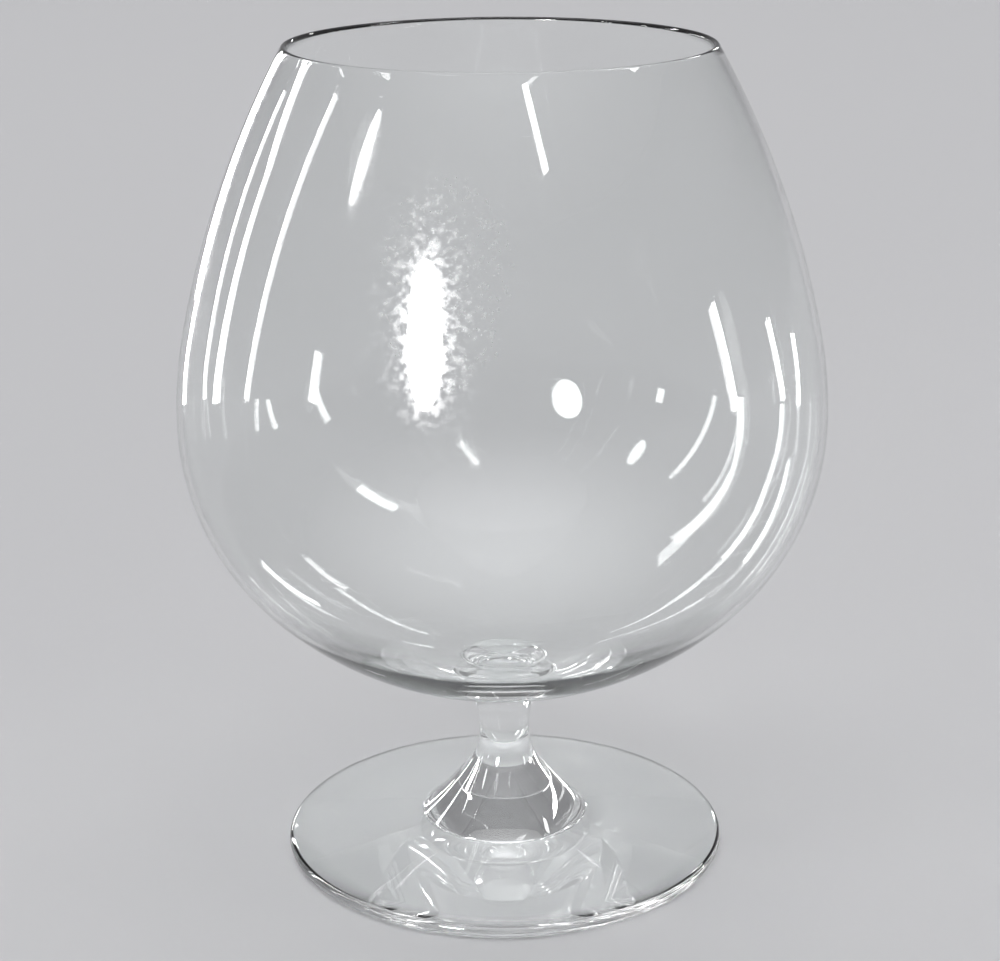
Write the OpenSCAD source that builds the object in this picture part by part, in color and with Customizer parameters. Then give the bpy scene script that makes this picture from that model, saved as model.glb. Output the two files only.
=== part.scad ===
// Brandy snifter: a thin blown bowl on a short drawn stem and a wide disc foot.
// The three pieces are clear glass, fused end to end on two flat round seams.
// The origin is on the table under the axis and +Z points up. Sizes are in millimetres.

/* [Bowl] */
// Height of the bowl, from its underside at the axis to the top of the lip
bowl_h = 121.15; // [116:0.05:128]
// Widest outside diameter
belly_d = 120.3; // [118:0.1:126]
// Height of the widest point above the bowl's underside
belly_up = 53.05; // [51.5:0.05:54]
// Outside diameter at the mouth, across the lip
mouth_d = 77.8; // [70:0.1:84]
// Thickness of the blown wall, which is also the thickness of the round lip
wall_t = 1.1; // [0.8:0.05:1.8]
// Thickness of the glass at the middle of the floor
floor_t = 5; // [2.5:0.1:5.8]
// Roundness of the curve below the widest point, where 1 is the end of an ellipse
low_curve_share = 1.026; // [0.98:0.002:1.044]
// Outside radius of the curve from the widest point up
high_curve_r = 79; // [70:0.5:90]
// Share of the wall's lean, from the widest point to the lip, that this curve turns through
high_curve_share = 0.654; // [0.5:0.002:0.8]
// Radius of the soft corner where the bowl runs into the stem
collar_r = 2; // [1:0.1:3]

/* [Stem] */
// Length of the stem between its two seams
stem_h = 17.5; // [15:0.1:20]
// Diameter at the waist, the narrowest point
waist_d = 9.46; // [8:0.02:12]
// Height of the waist above the seam with the foot
waist_up = 6.63; // [5:0.01:8]
// Radius of the flare from the waist up to the bowl
high_flare_r = 21.86; // [18:0.01:30]
// Radius of the flare from the waist down to the foot
low_flare_r = 11.5; // [9.5:0.1:16]

/* [Foot] */
// Diameter of the foot
foot_d = 84.8; // [78:0.1:92]
// Height of the foot's hub, from the table to the seam with the stem
hub_h = 16; // [14:0.1:18]
// Radius of the hollow curve of the hub, from the seam down to the foot's sloping top
hub_curve_r = 56; // [46:0.5:70]
// Radius of the soft corner where the hub meets the sloping top
hub_corner_r = 1.2; // [0.6:0.1:2.5]
// Angle at which the top slopes down to the edge
top_slope = 7.9; // [6:0.1:10]
// Thickness of the foot's rounded edge
edge_t = 2.4; // [1.8:0.1:3.2]
// Width of the flat ring that the foot rests on
rest_w = 5; // [3:0.1:8]
// Height of the hollow under the middle of the foot
hollow_h = 1.5; // [0.8:0.1:2.5]
// Diameter of the flat middle of the hollow
hollow_flat_d = 20; // [12:0.5:30]

/* [Hidden] */
$fn = 180;
clear_glass = [0.87, 0.91, 0.92, 0.45];
// Overlap of two curves that run into each other smoothly, so that they join without a gap
blend = 0.001;
// Angle by which a cut or a hidden end passes its mark
past_angle = 3;

// Stem: the centre of each flare, then its radius at each seam
waist_r = waist_d / 2;
waist_z = hub_h + waist_up;
low_flare_x = waist_r + low_flare_r;
high_flare_x = waist_r + high_flare_r;
root_r = low_flare_x - sqrt(pow(low_flare_r, 2) - pow(waist_up, 2));
neck_z = hub_h + stem_h;
neck_up = neck_z - waist_z;
neck_r = high_flare_x - sqrt(pow(high_flare_r, 2) - pow(neck_up, 2));

// Foot: the hub's curve leaves the seam in line with the stem's low flare
root_angle = asin(waist_up / low_flare_r);
hub_curve_mid = [root_r, hub_h] + hub_curve_r * [cos(root_angle), sin(root_angle)];
edge_r = edge_t / 2;
edge_x = foot_d / 2 - edge_r;
// The sloping top is a straight line that touches the rounded edge. Its soft corner with the hub's curve
// touches both, and its centre is found from the height of the curve's centre over that line.
slope_up = [sin(top_slope), cos(top_slope)];
slope_in = [-cos(top_slope), sin(top_slope)];
edge_touch = [edge_x, edge_r] + (edge_r - blend) * slope_up;
hub_over = (hub_curve_mid - [edge_x, edge_r]) * slope_up - edge_r;
corner_drop = hub_over - hub_corner_r;
corner_in = sqrt(pow(hub_curve_r - hub_corner_r, 2) - pow(corner_drop, 2));
corner_mid = hub_curve_mid - corner_drop * slope_up + corner_in * slope_in;
corner_touch = corner_mid - hub_corner_r * slope_up;
corner_angle = 270 - top_slope - atan2(corner_in, corner_drop);
hollow_r = edge_x - rest_w;

// Bowl: the bottom curve is centred on the axis and runs smoothly into the low curve
belly_r = belly_d / 2;
low_curve_r = low_curve_share * pow(belly_up, 2) / belly_r;
low_curve_x = belly_r - low_curve_r;
high_curve_x = belly_r - high_curve_r;
core_r = (belly_up - floor_t) / 2;
function bottom_drop(inset, floor) = belly_up - floor - (low_curve_r - inset);
function bottom_gap(inset, floor) =
    (pow(low_curve_x, 2) / bottom_drop(inset, floor) + bottom_drop(inset, floor)) / 2;
function bottom_r(inset, floor) = low_curve_r - inset + bottom_gap(inset, floor);
function bottom_rise(inset, floor) = bottom_gap(inset, floor) - bottom_drop(inset, floor);
function bottom_angle(inset, floor) =
    let (gap = bottom_gap(inset, floor)) atan2(bottom_rise(inset, floor) / gap, low_curve_x / gap);

// The collar's soft corner touches the stem's high flare and the bowl's bottom curve
neck_angle = asin(neck_up / high_flare_r);
collar_x = neck_r + collar_r * cos(neck_angle);
collar_z = neck_z - collar_r * sin(neck_angle);
collar_reach = bottom_r(0, 0) + collar_r - 2 * blend;
bottom_z = collar_z + sqrt(pow(collar_reach, 2) - pow(collar_x, 2));
collar_share = bottom_r(0, 0) / collar_reach;
collar_touch = [collar_x * collar_share, bottom_z + (collar_z - bottom_z) * collar_share];
under_z = bottom_z - bottom_r(0, 0);
belly_z = under_z + belly_up;

// The shoulder runs smoothly from the high curve into the round lip
lip_r = wall_t / 2;
lip_x = mouth_d / 2 - lip_r;
lip_z = under_z + bowl_h - lip_r;
high_curve_angle = high_curve_share * atan2(belly_r - lip_x, lip_z - belly_z);
high_dir = [cos(high_curve_angle), sin(high_curve_angle)];
high_end = [high_curve_x, belly_z] + high_curve_r * high_dir;
to_lip = [lip_x, lip_z] - high_end;
shoulder_r = (pow(lip_r, 2) - to_lip * to_lip) / (2 * (to_lip * high_dir + lip_r));
shoulder_mid = high_end - shoulder_r * high_dir;
lip_angle = atan2(lip_z - shoulder_mid.y, lip_x - shoulder_mid.x);

// A slice of a disc between two angles, about its own middle
module slice(mid, r, from, to) {
    reach = 2 * r;
    translate(mid)
        intersection() {
            circle(r = r);
            polygon([[0, 0], for (a = [from, (from + to) / 2, to]) reach * [cos(a), sin(a)]]);
        }
}

// The half outline of the bowl filled in, moved in by inset and up by floor, up to an angle at the lip
module bowl_fill(inset, floor, top_angle) {
    low_angle = bottom_angle(inset, floor);
    intersection() {
        square([belly_d, lip_z + belly_d]);
        union() {
            slice([0, belly_z + bottom_rise(inset, floor)], bottom_r(inset, floor) - blend,
                -90 - past_angle, -low_angle);
            slice([low_curve_x, belly_z], low_curve_r - inset, -low_angle - past_angle, past_angle);
            slice([high_curve_x, belly_z], high_curve_r - inset - blend, 0, high_curve_angle + past_angle);
            slice(shoulder_mid, shoulder_r - inset - 2 * blend, high_curve_angle, top_angle);
            // The slices' middles lie in this core, so that no crack is left between them
            translate([0, belly_z]) circle(r = core_r);
        }
    }
}

// The short collar under the bowl, down to the seam with the stem
module collar_outline() {
    difference() {
        translate([0, neck_z]) square([collar_touch.x, collar_touch.y + floor_t / 2 - neck_z]);
        translate([collar_x, collar_z]) circle(r = collar_r);
    }
}

module bowl() {
    color(clear_glass)
        rotate_extrude()
            union() {
                difference() {
                    union() {
                        bowl_fill(0, 0, lip_angle);
                        collar_outline();
                    }
                    bowl_fill(wall_t, floor_t, lip_angle + past_angle);
                }
                translate([lip_x, lip_z]) circle(r = lip_r + 3 * blend);
            }
}

// One flare of the stem, between the waist and a seam
module flare_outline(bottom, h, curve_x, curve_r) {
    difference() {
        translate([0, bottom]) square([curve_x, h]);
        translate([curve_x, waist_z]) circle(r = curve_r);
    }
}

module stem() {
    color(clear_glass)
        rotate_extrude()
            union() {
                flare_outline(hub_h, waist_up, low_flare_x, low_flare_r);
                flare_outline(waist_z, neck_up, high_flare_x, high_flare_r);
            }
}

module foot() {
    color(clear_glass)
        rotate_extrude()
            difference() {
                union() {
                    polygon([[0, 0], [edge_x, 0], [edge_x, edge_r], edge_touch, corner_touch, corner_mid,
                        [corner_mid.x, hub_h], [0, hub_h]]);
                    translate([edge_x, edge_r]) circle(r = edge_r);
                }
                slice(hub_curve_mid, hub_curve_r, 180 + root_angle - past_angle, corner_angle);
                translate(corner_mid) circle(r = hub_corner_r + blend);
                polygon([[0, 0], [hollow_r, 0], [hollow_flat_d / 2, hollow_h], [0, hollow_h]]);
            }
}

bowl();
stem();
foot();
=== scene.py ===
from math import asin, atan2, cos, pi, radians, sin, sqrt

import bpy
from bpy.props import FloatProperty, FloatVectorProperty, IntProperty, PointerProperty
from mathutils import Matrix, Vector


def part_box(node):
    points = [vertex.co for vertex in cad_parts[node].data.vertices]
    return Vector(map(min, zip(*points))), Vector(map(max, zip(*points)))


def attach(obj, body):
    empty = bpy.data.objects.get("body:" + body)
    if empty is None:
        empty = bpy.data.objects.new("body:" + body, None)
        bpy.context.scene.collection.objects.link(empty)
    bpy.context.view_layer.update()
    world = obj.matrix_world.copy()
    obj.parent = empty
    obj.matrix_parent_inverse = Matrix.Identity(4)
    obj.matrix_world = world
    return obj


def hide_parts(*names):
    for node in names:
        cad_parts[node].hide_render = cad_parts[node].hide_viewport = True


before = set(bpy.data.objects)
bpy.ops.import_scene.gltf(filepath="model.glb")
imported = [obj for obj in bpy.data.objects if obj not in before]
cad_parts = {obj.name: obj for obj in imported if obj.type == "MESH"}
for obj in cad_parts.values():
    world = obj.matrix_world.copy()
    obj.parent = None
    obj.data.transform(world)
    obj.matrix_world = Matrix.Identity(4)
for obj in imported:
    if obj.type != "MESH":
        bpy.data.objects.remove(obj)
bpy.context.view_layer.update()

bl_info = {
    "name": "Brandy Snifter",
    "version": (1, 0, 0),
    "blender": (4, 5, 0),
    "location": "3D View > Sidebar > Snifter",
    "description": "Builds a clear balloon snifter from a lathed bowl, stem and foot, on a pale stage",
    "category": "Object",
}

BODY = "root"
MM = 0.001

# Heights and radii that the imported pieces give
TOTAL_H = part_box("bowl")[1].z
BELLY_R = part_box("bowl")[1].x
NECK_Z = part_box("stem")[1].z
HUB_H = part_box("stem")[0].z
FOOT_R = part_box("foot")[1].x


def length_prop(name, description, default):
    return FloatProperty(name=name, description=description, default=default, unit="LENGTH", precision=5)


class SnifterSizes(bpy.types.PropertyGroup):
    """Sizes of the glass, in metres"""

    belly_up: length_prop("Belly height", "Height of the widest point above the underside", 53.05 * MM)
    mouth_r: length_prop("Mouth radius", "Outside radius across the lip", 38.9 * MM)
    wall_t: length_prop("Wall", "Thickness of the blown wall and of the round lip", 1.1 * MM)
    floor_t: length_prop("Floor", "Thickness of the glass at the middle of the floor", 5 * MM)
    low_curve_share: FloatProperty(
        name="Low curve", description="Roundness below the widest point, 1 for an ellipse", default=1.026)
    high_curve_r: length_prop("High curve", "Radius of the curve from the widest point up", 79 * MM)
    high_curve_share: FloatProperty(
        name="High curve share", description="Share of the wall's lean that the high curve turns through",
        default=0.654)
    collar_r: length_prop("Collar", "Radius of the soft corner between bowl and stem", 2 * MM)
    waist_r: length_prop("Waist radius", "Radius of the stem at its narrowest point", 4.73 * MM)
    waist_up: length_prop("Waist height", "Height of the waist above the seam with the foot", 6.63 * MM)
    high_flare_r: length_prop("High flare", "Radius of the flare up to the bowl", 21.86 * MM)
    low_flare_r: length_prop("Low flare", "Radius of the flare down to the foot", 11.5 * MM)
    hub_curve_r: length_prop("Hub curve", "Radius of the hollow curve round the foot's hub", 56 * MM)
    hub_corner_r: length_prop("Hub corner", "Radius of the corner between hub and sloping top", 1.2 * MM)
    top_slope: FloatProperty(
        name="Top slope", description="Angle at which the foot's top slopes down to its edge",
        default=radians(7.9), subtype="ANGLE")
    edge_t: length_prop("Foot edge", "Thickness of the foot's rounded edge", 2.4 * MM)
    rest_w: length_prop("Resting ring", "Width of the flat ring that the foot stands on", 5 * MM)
    hollow_h: length_prop("Hollow", "Height of the hollow under the middle of the foot", 1.5 * MM)
    hollow_flat_r: length_prop("Hollow flat", "Radius of the flat middle of the hollow", 10 * MM)
    segments: IntProperty(name="Segments", description="Steps round the axis", default=320, min=24)
    wave_depth: FloatProperty(
        name="Wave depth", description="Depth of the waves of hand-blown glass, as a share of the radius",
        default=0.0006)
    wave_size: length_prop("Wave size", "Distance between two waves", 30 * MM)


class SnifterFinish(bpy.types.PropertyGroup):
    """Colours and wear of the glass and the stage"""

    glass_tint: FloatVectorProperty(
        name="Glass", description="Tint of the clear glass", subtype="COLOR", size=3,
        default=(0.96, 0.97, 0.966))
    # The colour at a slant is mostly painted shade, which darkens the glass where the wall is seen edge on
    # and so draws its outline
    slant_painted_shade: FloatVectorProperty(
        name="Glass at a slant", description="Tint where one looks along the wall, through more glass",
        subtype="COLOR", size=3, default=(0.32, 0.36, 0.355))
    glass_ior: FloatProperty(name="IOR", description="How strongly the glass bends light", default=1.52)
    smudge_roughness: FloatProperty(
        name="Smudges", description="Roughness where hands have left a faint haze", default=0.055)
    held_roughness: FloatProperty(
        name="Held place", description="Roughness where the bowl was held last", default=0.3)
    floor_colour: FloatVectorProperty(
        name="Floor", description="Colour of the floor and the backdrop", subtype="COLOR", size=3,
        default=(0.6, 0.6, 0.605))
    world_colour: FloatVectorProperty(
        name="Room", description="Colour of the light that comes from all round", subtype="COLOR", size=3,
        default=(0.14, 0.14, 0.143))
    overhead_share: FloatProperty(
        name="Overhead", description="How much brighter the light is straight overhead", default=16.0)


def arc(mid, radius, start, end, step):
    """Points along an arc about mid, from one angle to another, both ends among them"""
    count = max(2, round(abs(end - start) / step))
    angles = [start + (end - start) * i / count for i in range(count + 1)]
    return [(mid[0] + radius * cos(a), mid[1] + radius * sin(a)) for a in angles]


class Curves:
    """Centres, radii and angles of the arcs that make the half outlines, worked out from the sizes"""

    def __init__(self, s):
        self.s = s
        self.waist_z = HUB_H + s.waist_up
        self.low_flare_x = s.waist_r + s.low_flare_r
        self.high_flare_x = s.waist_r + s.high_flare_r
        self.root_angle = asin(s.waist_up / s.low_flare_r)
        self.root_r = self.low_flare_x - s.low_flare_r * cos(self.root_angle)
        self.neck_angle = asin((NECK_Z - self.waist_z) / s.high_flare_r)
        self.neck_r = self.high_flare_x - s.high_flare_r * cos(self.neck_angle)
        self.belly(s)
        self.collar(s)
        self.shoulder(s)
        self.disc(s)

    def belly(self, s):
        """The curves that meet at the widest point"""
        self.low_curve_r = s.low_curve_share * s.belly_up ** 2 / BELLY_R
        self.low_curve_x = BELLY_R - self.low_curve_r
        self.high_curve_x = BELLY_R - s.high_curve_r

    def bottom(self, inset, floor):
        """Radius, height above the belly and end angle of the bottom curve, which is centred on the axis"""
        drop = self.s.belly_up - floor - (self.low_curve_r - inset)
        gap = (self.low_curve_x ** 2 / drop + drop) / 2
        return self.low_curve_r - inset + gap, gap - drop, atan2((gap - drop) / gap, self.low_curve_x / gap)

    def collar(self, s):
        """The soft corner that touches the stem's high flare and the bowl's bottom curve"""
        bottom_r = self.bottom(0, 0)[0]
        self.collar_mid = (self.neck_r + s.collar_r * cos(self.neck_angle),
                           NECK_Z - s.collar_r * sin(self.neck_angle))
        rise = sqrt((bottom_r + s.collar_r) ** 2 - self.collar_mid[0] ** 2)
        self.belly_z = self.collar_mid[1] + rise - bottom_r + s.belly_up
        self.collar_angle = atan2(rise, self.collar_mid[0])

    def shoulder(self, s):
        """The curve that runs smoothly from the high curve into the round lip"""
        self.lip_r = s.wall_t / 2
        self.lip_mid = (s.mouth_r - self.lip_r, TOTAL_H - self.lip_r)
        lean = atan2(BELLY_R - self.lip_mid[0], self.lip_mid[1] - self.belly_z)
        self.high_angle = s.high_curve_share * lean
        way = Vector((cos(self.high_angle), sin(self.high_angle)))
        end = Vector((self.high_curve_x, self.belly_z)) + s.high_curve_r * way
        to_lip = Vector(self.lip_mid) - end
        self.shoulder_r = (self.lip_r ** 2 - to_lip.dot(to_lip)) / (2 * (to_lip.dot(way) + self.lip_r))
        self.shoulder_mid = end - self.shoulder_r * way
        self.lip_angle = atan2(
            self.lip_mid[1] - self.shoulder_mid[1], self.lip_mid[0] - self.shoulder_mid[0])

    def disc(self, s):
        """The foot's hub, the soft corner at its root, its sloping top and its round edge"""
        self.hub_mid = (self.root_r + s.hub_curve_r * cos(self.root_angle),
                        HUB_H + s.hub_curve_r * sin(self.root_angle))
        self.edge_r = s.edge_t / 2
        self.edge_x = FOOT_R - self.edge_r
        up = Vector((sin(s.top_slope), cos(s.top_slope)))
        to_hub = Vector(self.hub_mid) - Vector((self.edge_x, self.edge_r))
        drop = to_hub.dot(up) - self.edge_r - s.hub_corner_r
        back = sqrt((s.hub_curve_r - s.hub_corner_r) ** 2 - drop ** 2)
        self.corner_mid = Vector(self.hub_mid) - drop * up + back * Vector((-up.y, up.x))
        self.corner_angle = 1.5 * pi - s.top_slope - atan2(back, drop)
        self.hollow_r = self.edge_x - s.rest_w


# Angle from one point of an outline to the next. High curves are the bowl's and the stem's upper ones, and
# round edges are the lip's and the foot's.
WIDE_STEP = radians(1.5)
HIGH_STEP = radians(0.75)
SHOULDER_STEP = radians(0.6)
COLLAR_STEP = radians(5.5)
HUB_STEP = radians(0.5)
HUB_CORNER_STEP = radians(11 / 3)
ROUND_EDGE_STEP = radians(11)


def bowl_side(c, inset, floor):
    """One side of the bowl's wall up to the lip, the inside from the axis or the outside from the collar"""
    s = c.s
    bottom_r, rise, angle = c.bottom(inset, floor)
    start = -pi / 2 if inset else -c.collar_angle
    return (
        arc((0, c.belly_z + rise), bottom_r, start, -angle, WIDE_STEP)
        + arc((c.low_curve_x, c.belly_z), c.low_curve_r - inset, -angle, 0, WIDE_STEP)[1:]
        + arc((c.high_curve_x, c.belly_z), s.high_curve_r - inset, 0, c.high_angle, HIGH_STEP)[1:]
        + arc(c.shoulder_mid, c.shoulder_r - inset, c.high_angle, c.lip_angle, SHOULDER_STEP)[1:]
    )


def bowl_outline(c):
    """Half outline of the bowl: up the inside, over the lip, down the outside and in along the seam"""
    s = c.s
    lip = arc(c.lip_mid, c.lip_r, c.lip_angle + pi, c.lip_angle, ROUND_EDGE_STEP)
    collar = arc(c.collar_mid, s.collar_r, pi - c.collar_angle, pi - c.neck_angle, COLLAR_STEP)
    return (bowl_side(c, s.wall_t, s.floor_t) + lip[1:-1] + bowl_side(c, 0, 0)[::-1] + collar[1:]
            + [(0, NECK_Z)])


def stem_outline(c):
    """Half outline of the stem, from the seam with the bowl down to the seam with the foot"""
    s = c.s
    high = arc((c.high_flare_x, c.waist_z), s.high_flare_r, pi - c.neck_angle, pi, HIGH_STEP)
    low = arc((c.low_flare_x, c.waist_z), s.low_flare_r, pi, pi + c.root_angle, WIDE_STEP)
    return [(0, NECK_Z)] + high + low[1:] + [(0, HUB_H)]


def foot_outline(c):
    """Half outline of the foot, from the hub over the sloping top and the edge to the hollow underside"""
    s = c.s
    hub = arc(c.hub_mid, s.hub_curve_r, pi + c.root_angle, c.corner_angle, HUB_STEP)
    corner = arc(c.corner_mid, s.hub_corner_r, c.corner_angle, 1.5 * pi - s.top_slope, HUB_CORNER_STEP)
    edge = arc((c.edge_x, c.edge_r), c.edge_r, pi / 2 - s.top_slope, -pi / 2, ROUND_EDGE_STEP)
    hollow = [(c.hollow_r, 0), (s.hollow_flat_r, s.hollow_h), (0, s.hollow_h)]
    return [(0, HUB_H)] + hub + corner[1:] + edge + hollow


class NodeMaker:
    """Adds nodes to a tree and joins them up"""

    def __init__(self, tree):
        self.tree = tree

    def add(self, kind, inputs=(), **settings):
        node = self.tree.nodes.new(kind)
        for key, value in settings.items():
            setattr(node, key, value)
        for key, value in dict(inputs).items():
            if isinstance(value, bpy.types.NodeSocket):
                self.tree.links.new(value, node.inputs[key])
            else:
                node.inputs[key].default_value = value
        return node

    def math(self, operation, *values):
        return self.add("ShaderNodeMath", enumerate(values), operation=operation).outputs[0]

    def noise(self, place, scale, detail):
        return self.add("ShaderNodeTexNoise", {
            "Vector": place, "Scale": scale, "Detail": detail}).outputs["Fac"]

    def band(self, value, ends, blend="LINEAR"):
        """0 up to one end of a band of values, rising to 1 at the other end and beyond it"""
        return self.add("ShaderNodeMapRange", {
            "Value": value, "From Min": ends[0], "From Max": ends[1]}, interpolation_type=blend).outputs[0]


# The waves' noise, what lies close enough to merge or to be in a seam, and the angle of a sharp edge
WAVE_SEED = 4.0
WAVE_DETAIL = 1.0
WAVE_ROUGHNESS = 0.4
MERGE_REACH = 0.001 * MM
SEAM_REACH = 0.002 * MM
SHARP_ANGLE = radians(25)


def lathe_tree():
    """Geometry Nodes that turn a half outline in the XZ plane round Z into a closed mesh"""
    tree = bpy.data.node_groups.new("Glass Lathe", "GeometryNodeTree")
    for name, kind, way in (
        ("Outline", "NodeSocketGeometry", "INPUT"),
        ("Segments", "NodeSocketInt", "INPUT"),
        ("Wave Depth", "NodeSocketFloat", "INPUT"),
        ("Wave Size", "NodeSocketFloat", "INPUT"),
        ("Seed", "NodeSocketFloat", "INPUT"),
        ("High Seam", "NodeSocketFloat", "INPUT"),
        ("Low Seam", "NodeSocketFloat", "INPUT"),
        ("Glass", "NodeSocketMaterial", "INPUT"),
        ("Seam", "NodeSocketMaterial", "INPUT"),
        ("Mesh", "NodeSocketGeometry", "OUTPUT"),
    ):
        tree.interface.new_socket(name=name, in_out=way, socket_type=kind)
    n = NodeMaker(tree)
    given = n.add("NodeGroupInput").outputs

    # A flat grid has one row for each point of the outline and one column for each step round
    count = n.add("GeometryNodeAttributeDomainSize", {"Geometry": given["Outline"]}).outputs["Point Count"]
    columns = n.math("ADD", given["Segments"], 1.0)
    grid = n.add("GeometryNodeMeshGrid", {"Vertices X": count, "Vertices Y": columns}).outputs["Mesh"]
    place = n.add("ShaderNodeSeparateXYZ", {0: n.add("GeometryNodeInputPosition").outputs[0]}).outputs
    row = n.math("ROUND", n.math("MULTIPLY", n.math("ADD", place["X"], 0.5), n.math("SUBTRACT", count, 1.0)))
    angle = n.math("MULTIPLY", n.math("ADD", place["Y"], 0.5), 2 * pi)
    point = n.add("GeometryNodeSampleIndex", {
        "Geometry": given["Outline"], "Index": row, "Value": n.add("GeometryNodeInputPosition").outputs[0],
    }, data_type="FLOAT_VECTOR", domain="POINT").outputs["Value"]
    point = n.add("ShaderNodeSeparateXYZ", {0: point}).outputs

    # Shallow waves, inwards only, as in glass that was blown and turned by hand
    cosine, sine = n.math("COSINE", angle), n.math("SINE", angle)
    round_place = n.add("ShaderNodeCombineXYZ", {
        "X": n.math("MULTIPLY", point["X"], cosine),
        "Y": n.math("MULTIPLY", point["X"], sine), "Z": point["Z"]}).outputs[0]
    wave = n.add("ShaderNodeTexNoise", {
        "Vector": round_place, "W": given["Seed"], "Scale": n.math("DIVIDE", 1.0, given["Wave Size"]),
        "Detail": WAVE_DETAIL, "Roughness": WAVE_ROUGHNESS}, noise_dimensions="4D").outputs[0]
    shrink = n.math("SUBTRACT", 1.0, n.math("MULTIPLY", wave, given["Wave Depth"]))
    radius = n.math("MULTIPLY", point["X"], shrink)
    turned = n.add("ShaderNodeCombineXYZ", {
        "X": n.math("MULTIPLY", radius, cosine), "Y": n.math("MULTIPLY", radius, sine),
        "Z": point["Z"]}).outputs[0]
    mesh = n.add("GeometryNodeSetPosition", {"Geometry": grid, "Position": turned}).outputs[0]
    mesh = n.add("GeometryNodeMergeByDistance", {"Geometry": mesh, "Distance": MERGE_REACH}).outputs[0]

    # Corners, such as the rims of the seams, stay sharp and everything else is smooth
    mesh = n.add("GeometryNodeSetShadeSmooth", {
        "Geometry": mesh, "Shade Smooth": True}, domain="FACE").outputs[0]
    fold = n.add("GeometryNodeInputMeshEdgeAngle").outputs["Unsigned Angle"]
    sharp = n.add("FunctionNodeCompare", {0: fold, 1: SHARP_ANGLE}, data_type="FLOAT",
                  operation="GREATER_THAN").outputs[0]
    mesh = n.add("GeometryNodeSetShadeSmooth", {
        "Geometry": mesh, "Selection": sharp, "Shade Smooth": False}, domain="EDGE").outputs[0]

    # Faces that lie in a seam are the inside of one fused piece of glass
    height = n.add("ShaderNodeSeparateXYZ", {0: n.add("GeometryNodeInputPosition").outputs[0]}).outputs["Z"]
    near = [n.math("COMPARE", height, given[seam], SEAM_REACH) for seam in ("High Seam", "Low Seam")]
    in_seam = n.math("MAXIMUM", *near)
    mesh = n.add("GeometryNodeRealizeInstances", {"Geometry": mesh}).outputs[0]
    mesh = n.add("GeometryNodeSetMaterial", {"Geometry": mesh, "Material": given["Glass"]}).outputs[0]
    mesh = n.add("GeometryNodeSetMaterial", {
        "Geometry": mesh, "Selection": in_seam, "Material": given["Seam"]}).outputs[0]
    n.add("NodeGroupOutput", {"Mesh": mesh})
    return tree


# Middle of the place where the bowl was held last, its reach along each axis, and the shares of that reach
# at which the place ends and at which it is roughest
HELD_PLACE = (-0.009, -0.052, 0.124)
HELD_SIZE = (0.026, 0.036, 0.042)
HELD_BAND = (1.0, 0.3)

# Noises of the haze, its mottling and the held place's mottling: scale, detail and the values that show
HAZE_SCALE, HAZE_DETAIL, HAZE_BAND = 28.0, 2.0, (0.52, 0.68)
MOTTLE_SCALE, MOTTLE_DETAIL, MOTTLE_BAND = 420.0, 4.0, (0.42, 0.66)
FINE_SCALE, FINE_DETAIL, FINE_BAND = 900.0, 5.0, (0.4, 0.65)

# Scratches are a noise that is pressed flat into fine level lines
SCRATCH_SCALE = (60, 60, 2600)
SCRATCH_DETAIL, SCRATCH_BAND = 1.0, (0.68, 0.72)
SCRATCH_STRENGTH = 0.06
SCRATCH_DEPTH = 0.02 * MM

# Painted shade: the glass darkens between these two slants of its surface, where 0 is face on and 1 is edge
# on
SLANT_PAINTED_SHADE_BAND = (0.8, 1.0)
SLANT_PAINTED_SHADE_BLEND = 0.5
# The Mix node's sockets for two colours and for what they give
MIX_A, MIX_B, MIX_RESULT = 6, 7, 2


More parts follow.
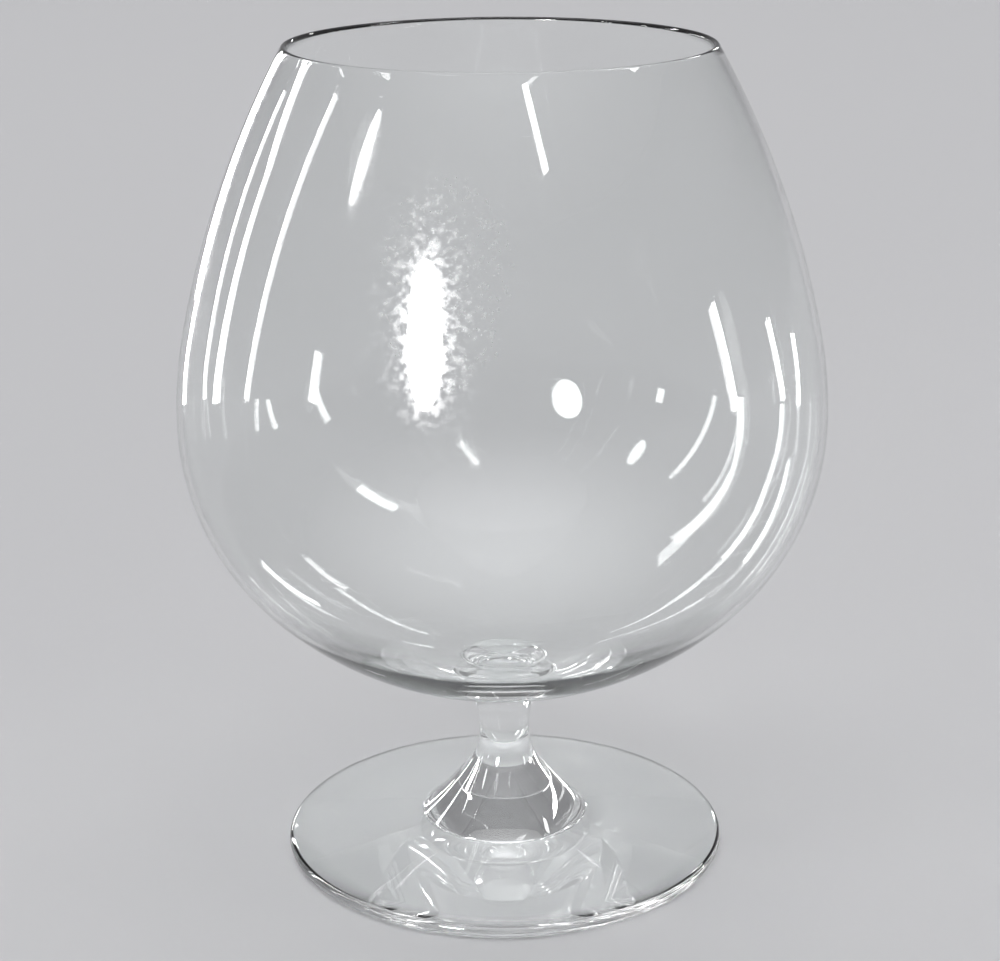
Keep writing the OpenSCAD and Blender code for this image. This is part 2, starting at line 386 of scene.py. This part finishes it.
def clear_glass(finish):
    """Clear glass with painted shade along its outline, a faint haze, a mottled place where it was held and
    fine scratches
    """
    material = bpy.data.materials.new("Clear Glass")
    material.use_nodes = True
    tree = material.node_tree
    n = NodeMaker(tree)
    shader = tree.nodes["Principled BSDF"]
    shader.inputs["IOR"].default_value = finish.glass_ior
    shader.inputs["Transmission Weight"].default_value = 1.0
    place = n.add("ShaderNodeTexCoord").outputs["Object"]

    # Where the wall is seen at a slant the glass turns dark. The longer path through the glass would darken
    # it only a little, so most of this is painted shade that draws the outline of the thin wall
    slant = n.add("ShaderNodeLayerWeight", {"Blend": SLANT_PAINTED_SHADE_BLEND}).outputs["Facing"]
    tint_and_painted_shade = n.add("ShaderNodeMix", {
        "Factor": n.band(slant, SLANT_PAINTED_SHADE_BAND, "SMOOTHSTEP"), MIX_A: (*finish.glass_tint, 1),
        MIX_B: (*finish.slant_painted_shade, 1)}, data_type="RGBA").outputs[MIX_RESULT]
    tree.links.new(tint_and_painted_shade, shader.inputs["Base Color"])

    # Haze lies in broad patches and is mottled inside them, most of all where a hand has held the bowl
    patch = n.band(n.noise(place, HAZE_SCALE, HAZE_DETAIL), HAZE_BAND)
    mottle = n.band(n.noise(place, MOTTLE_SCALE, MOTTLE_DETAIL), MOTTLE_BAND)
    haze = n.math("MULTIPLY", n.math("MULTIPLY", patch, mottle), finish.smudge_roughness)
    held = n.add("ShaderNodeMapping", {
        "Vector": place, "Location": HELD_PLACE, "Scale": HELD_SIZE}, vector_type="TEXTURE").outputs[0]
    far = n.add("ShaderNodeVectorMath", {0: held}, operation="LENGTH").outputs["Value"]
    held = n.band(far, HELD_BAND, "SMOOTHSTEP")
    fine = n.band(n.noise(place, FINE_SCALE, FINE_DETAIL), FINE_BAND)
    held = n.math("MULTIPLY", n.math("MULTIPLY", held, fine), finish.held_roughness)
    roughness = n.math("MAXIMUM", haze, held)
    tree.links.new(roughness, shader.inputs["Roughness"])

    # Fine scratches run round the glass, as wiping leaves them
    stretched = n.add("ShaderNodeMapping", {"Vector": place, "Scale": SCRATCH_SCALE}).outputs[0]
    lines = n.band(n.noise(stretched, 1.0, SCRATCH_DETAIL), SCRATCH_BAND)
    bump = n.add("ShaderNodeBump", {
        "Height": lines, "Strength": SCRATCH_STRENGTH, "Distance": SCRATCH_DEPTH}).outputs[0]
    tree.links.new(bump, shader.inputs["Normal"])
    return material


def fused_seam():
    """Inside one fused piece of glass, where light passes straight on"""
    material = bpy.data.materials.new("Fused Seam")
    material.use_nodes = True
    tree = material.node_tree
    tree.nodes.clear()
    n = NodeMaker(tree)
    clear = n.add("ShaderNodeBsdfTransparent").outputs[0]
    n.add("ShaderNodeOutputMaterial", {"Surface": clear})
    return material


def shared(kind, name, make):
    """A datablock by name, made on its first use"""
    return getattr(bpy.data, kind).get(name) or make()


PIECES = {"bowl": "bowl_glass", "stem": "stem_glass", "foot": "foot_glass"}


def lathed_piece(node, outline_of):
    """Turns a half outline into a mesh piece that stands for a CAD node"""
    name = PIECES[node]
    scene = bpy.context.scene
    sizes, finish = scene.snifter_sizes, scene.snifter_finish
    outline = outline_of(Curves(sizes))
    tree = shared("node_groups", "Glass Lathe", lathe_tree)
    glass = shared("materials", "Clear Glass", lambda: clear_glass(finish))
    seam = shared("materials", "Fused Seam", fused_seam)

    half = bpy.data.meshes.new(name + "_outline")
    half.from_pydata([(r, 0, z) for r, z in outline], [(i, i + 1) for i in range(len(outline) - 1)], [])
    carrier = bpy.data.objects.new(name + "_outline", half)
    scene.collection.objects.link(carrier)
    lathe = carrier.modifiers.new("Glass Lathe", "NODES")
    lathe.node_group = tree
    values = {"Segments": sizes.segments, "Wave Depth": sizes.wave_depth, "Wave Size": sizes.wave_size,
              "Seed": WAVE_SEED, "High Seam": NECK_Z, "Low Seam": HUB_H, "Glass": glass, "Seam": seam}
    for item in tree.interface.items_tree:
        if item.name in values:
            lathe[item.identifier] = values[item.name]

    layer = bpy.context.evaluated_depsgraph_get()
    mesh = bpy.data.meshes.new_from_object(carrier.evaluated_get(layer), depsgraph=layer)
    bpy.data.objects.remove(carrier)
    bpy.data.meshes.remove(half)
    if not mesh.polygons:
        raise RuntimeError(f"the lathe made no faces for {name}")
    mesh.name = name
    piece = bpy.data.objects.new(name, mesh)
    scene.collection.objects.link(piece)
    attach(piece, BODY)
    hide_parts(node)


class SNIFTER_OT_bowl(bpy.types.Operator):
    """Lathe the blown bowl with its round lip and collar"""

    bl_idname = "snifter.bowl"
    bl_label = "Bowl"

    def execute(self, context):
        lathed_piece("bowl", bowl_outline)
        return {"FINISHED"}


class SNIFTER_OT_stem(bpy.types.Operator):
    """Lathe the short waisted stem"""

    bl_idname = "snifter.stem"
    bl_label = "Stem"

    def execute(self, context):
        lathed_piece("stem", stem_outline)
        return {"FINISHED"}


class SNIFTER_OT_foot(bpy.types.Operator):
    """Lathe the foot with its hub, rounded edge and hollow underside"""

    bl_idname = "snifter.foot"
    bl_label = "Foot"

    def execute(self, context):
        lathed_piece("foot", foot_outline)
        return {"FINISHED"}


# Camera: distance from the axis, height, pitch, roll and sideways step, then its sensor's width in
# millimetres, its focal length in pixels of a frame that is PHOTO_W wide, and the nearest distance it sees
CAMERA_BACK = 0.4073
CAMERA_UP = 0.2067
CAMERA_PITCH = radians(18.13)
CAMERA_ROLL = radians(-0.396)
CAMERA_SIDE = -0.0005
SENSOR_W = 36.0
FOCAL_PIXELS = 2277
PHOTO_W = 1000
CLIP_START = 0.01

# Middle of the glass, which the lamps face
AIM = Vector((0, 0, 0.1))
# Each lamp, a strip, bar or window: name, shape, the middles of its two ends, its width, and its brightness
LAMPS = (
    ("front_window", "ELLIPSE", (-0.401, -0.868, 0.215), (-0.424, -0.748, 0.515), 0.20, 45),
    ("left_strip_near", "RECTANGLE", (-0.537, 0.029, 0.072), (-0.458, 0.012, 0.400), 0.015, 22),
    ("left_strip_middle", "RECTANGLE", (-0.360, 0.118, 0.050), (-0.684, 0.316, 0.302), 0.024, 22),
    ("left_strip_lean", "RECTANGLE", (-0.684, 0.316, 0.302), (-0.215, 0.192, 0.315), 0.034, 22),
    ("left_strip_thin", "RECTANGLE", (-0.223, 0.090, 0.064), (-0.190, 0.115, 0.200), 0.004, 20),
    ("left_strip_far", "RECTANGLE", (-0.247, 0.271, 0.010), (-0.240, 0.287, 0.104), 0.018, 18),
    ("left_strip_far_lean", "RECTANGLE", (-0.240, 0.287, 0.104), (-0.169, 0.322, 0.188), 0.020, 18),
    ("left_strip_distant", "RECTANGLE", (-0.400, 0.600, 0.025), (-0.243, 0.633, 0.151), 0.030, 20),
    ("right_strip_near", "RECTANGLE", (0.437, -0.071, 0.078), (0.425, -0.090, 0.189), 0.022, 20),
    ("right_strip_middle", "RECTANGLE", (0.415, 0.117, 0.048), (0.420, 0.106, 0.125), 0.014, 20),
    ("right_strip_far", "RECTANGLE", (0.298, 0.131, 0.043), (0.294, 0.147, 0.091), 0.008, 20),
    ("rear_bar_low", "RECTANGLE", (0.514, 1.161, 0.244), (0.383, 1.148, 0.467), 0.050, 18),
    ("rear_bar_high", "RECTANGLE", (0.540, 0.663, 0.549), (0.355, 0.725, 0.619), 0.040, 18),
    ("high_bar", "RECTANGLE", (0.555, -0.054, 0.592), (0.400, -0.038, 0.721), 0.050, 18),
    ("high_lamp", "RECTANGLE", (0.151, -0.587, 0.853), (0.272, -0.707, 0.691), 0.035, 18),
    ("high_side_lamp", "ELLIPSE", (-0.914, -0.407, 0.600), (-0.914, -0.407, 0.900), 0.09, 14),
    ("low_side_lamp", "RECTANGLE", (-0.914, -0.407, 0.152), (-0.914, -0.407, 0.258), 0.05, 14),
)


def lamp_between(name, shape, low, high, width, brightness, lit):
    """A lamp that runs from one point to another and faces the glass, which is all that it lights"""
    low, high = Vector(low), Vector(high)
    place = (low + high) / 2
    along = (high - low).normalized()
    across = along.cross(place - AIM).normalized()
    light = bpy.data.lights.new(name, "AREA")
    light.shape = shape
    light.size, light.size_y = width, (high - low).length
    light.energy = brightness * pi * light.size * light.size_y
    lamp = bpy.data.objects.new(name, light)
    turn = Matrix((across, along, across.cross(along))).transposed()
    lamp.matrix_world = Matrix.Translation(place) @ turn.to_4x4()
    lamp.light_linking.receiver_collection = lit
    bpy.context.scene.collection.objects.link(lamp)


# The higher the power, the smaller the bright part of the room overhead
OVERHEAD_POWER = 4.0


def soft_room(finish):
    """Light from all round, low at the sides and brighter overhead, with no edge between"""
    world = bpy.data.worlds.new("Studio")
    world.use_nodes = True
    n = NodeMaker(world.node_tree)
    way = n.add("ShaderNodeTexCoord").outputs["Generated"]
    height = n.math("MAXIMUM", n.add("ShaderNodeSeparateXYZ", {0: way}).outputs["Z"], 0.0)
    overhead = n.math("MULTIPLY", n.math("POWER", height, OVERHEAD_POWER), finish.overhead_share)
    background = world.node_tree.nodes["Background"]
    background.inputs["Color"].default_value = (*finish.world_colour, 1)
    world.node_tree.links.new(n.math("ADD", overhead, 1.0), background.inputs["Strength"])
    return world


# The board lies a hair's breadth under the glass, because a film of air stays between two dry surfaces
FLOOR_GAP = 0.05 * MM
# Radius of the flat floor, radius of the curve up from it and height of the backdrop, in metres
FLOOR_R = 3
SWEEP_R = 0.8
WALL_TOP = 2.4
SWEEP_STEP = radians(3.75)
FLOOR_SEGMENTS = 128


def sweep_mesh():
    """A round floor that curves up into a backdrop all round"""
    side = arc((FLOOR_R, SWEEP_R), SWEEP_R, -pi / 2, 0, SWEEP_STEP)
    side.append((FLOOR_R + SWEEP_R, WALL_TOP))
    turns = [2 * pi * i / FLOOR_SEGMENTS for i in range(FLOOR_SEGMENTS)]
    points = [(r * cos(a), r * sin(a), z - FLOOR_GAP) for r, z in side for a in turns]
    faces = [tuple(range(FLOOR_SEGMENTS))]
    for row in range(len(side) - 1):
        low, high = row * FLOOR_SEGMENTS, (row + 1) * FLOOR_SEGMENTS
        for i in range(FLOOR_SEGMENTS):
            k = (i + 1) % FLOOR_SEGMENTS
            faces.append((low + i, high + i, high + k, low + k))
    mesh = bpy.data.meshes.new("studio_sweep")
    mesh.from_pydata(points, [], faces)
    mesh.shade_smooth()
    return mesh


BOARD_ROUGHNESS = 0.9
BOARD_SHINE = 0.1
GRAIN_SCALE = 900.0
GRAIN_DETAIL = 3.0
GRAIN_STRENGTH = 0.08
GRAIN_DEPTH = 0.1 * MM


def floor_material(colour):
    """Matt pale board with a fine grain"""
    material = bpy.data.materials.new("Pale Board")
    material.use_nodes = True
    tree = material.node_tree
    n = NodeMaker(tree)
    shader = tree.nodes["Principled BSDF"]
    shader.inputs["Base Color"].default_value = (*colour, 1)
    shader.inputs["Roughness"].default_value = BOARD_ROUGHNESS
    shader.inputs["Specular IOR Level"].default_value = BOARD_SHINE
    place = n.add("ShaderNodeTexCoord").outputs["Object"]
    bump = n.add("ShaderNodeBump", {
        "Height": n.noise(place, GRAIN_SCALE, GRAIN_DETAIL), "Strength": GRAIN_STRENGTH,
        "Distance": GRAIN_DEPTH}).outputs[0]
    tree.links.new(bump, shader.inputs["Normal"])
    return material


# Most times that light crosses a wall of glass, is mirrored, and passes a seam
GLASS_CROSSINGS = 28
MIRRORINGS = 10
SEAM_CROSSINGS = 32


class SNIFTER_OT_stage(bpy.types.Operator):
    """Set up the pale floor, the lamps and the camera"""

    bl_idname = "snifter.stage"
    bl_label = "Stage"

    def execute(self, context):
        scene = context.scene
        finish = scene.snifter_finish
        floor = bpy.data.objects.new("studio_sweep", sweep_mesh())
        floor.data.materials.append(floor_material(finish.floor_colour))
        scene.collection.objects.link(floor)

        scene.world = soft_room(finish)
        lit = bpy.data.collections.new("lit_glass")
        for name in PIECES.values():
            lit.objects.link(bpy.data.objects[name])
        for lamp in LAMPS:
            lamp_between(*lamp, lit)

        lens = bpy.data.cameras.new("camera")
        lens.sensor_width = SENSOR_W
        lens.lens = FOCAL_PIXELS / PHOTO_W * SENSOR_W
        lens.clip_start = CLIP_START
        camera = bpy.data.objects.new("camera", lens)
        turn = Matrix.Rotation(pi / 2 - CAMERA_PITCH, 4, "X") @ Matrix.Rotation(CAMERA_ROLL, 4, "Z")
        camera.matrix_world = Matrix.Translation((CAMERA_SIDE, -CAMERA_BACK, CAMERA_UP)) @ turn
        scene.collection.objects.link(camera)
        scene.camera = camera
        scene.view_settings.view_transform = "Standard"

        scene.cycles.max_bounces = GLASS_CROSSINGS
        scene.cycles.transmission_bounces = GLASS_CROSSINGS
        scene.cycles.glossy_bounces = MIRRORINGS
        scene.cycles.transparent_max_bounces = SEAM_CROSSINGS
        scene.cycles.blur_glossy = 0
        return {"FINISHED"}


class SNIFTER_PT_panel(bpy.types.Panel):
    """Sizes, finish and pieces of the snifter"""

    bl_label = "Brandy Snifter"
    bl_idname = "SNIFTER_PT_panel"
    bl_space_type = "VIEW_3D"
    bl_region_type = "UI"
    bl_category = "Snifter"

    def draw(self, context):
        for group in (context.scene.snifter_sizes, context.scene.snifter_finish):
            box = self.layout.box()
            for name in group.__annotations__:
                box.prop(group, name)
        for operator in OPERATORS:
            self.layout.operator(operator.bl_idname)


OPERATORS = (SNIFTER_OT_bowl, SNIFTER_OT_stem, SNIFTER_OT_foot, SNIFTER_OT_stage)
CLASSES = (SnifterSizes, SnifterFinish, *OPERATORS, SNIFTER_PT_panel)


def register():
    for cls in CLASSES:
        bpy.utils.register_class(cls)
    bpy.types.Scene.snifter_sizes = PointerProperty(type=SnifterSizes)
    bpy.types.Scene.snifter_finish = PointerProperty(type=SnifterFinish)


def unregister():
    del bpy.types.Scene.snifter_finish
    del bpy.types.Scene.snifter_sizes
    for cls in reversed(CLASSES):
        bpy.utils.unregister_class(cls)


def main():
    register()
    bpy.ops.snifter.bowl()
    bpy.ops.snifter.stem()
    bpy.ops.snifter.foot()
    bpy.ops.snifter.stage()


if __name__ == "__main__":
    main()
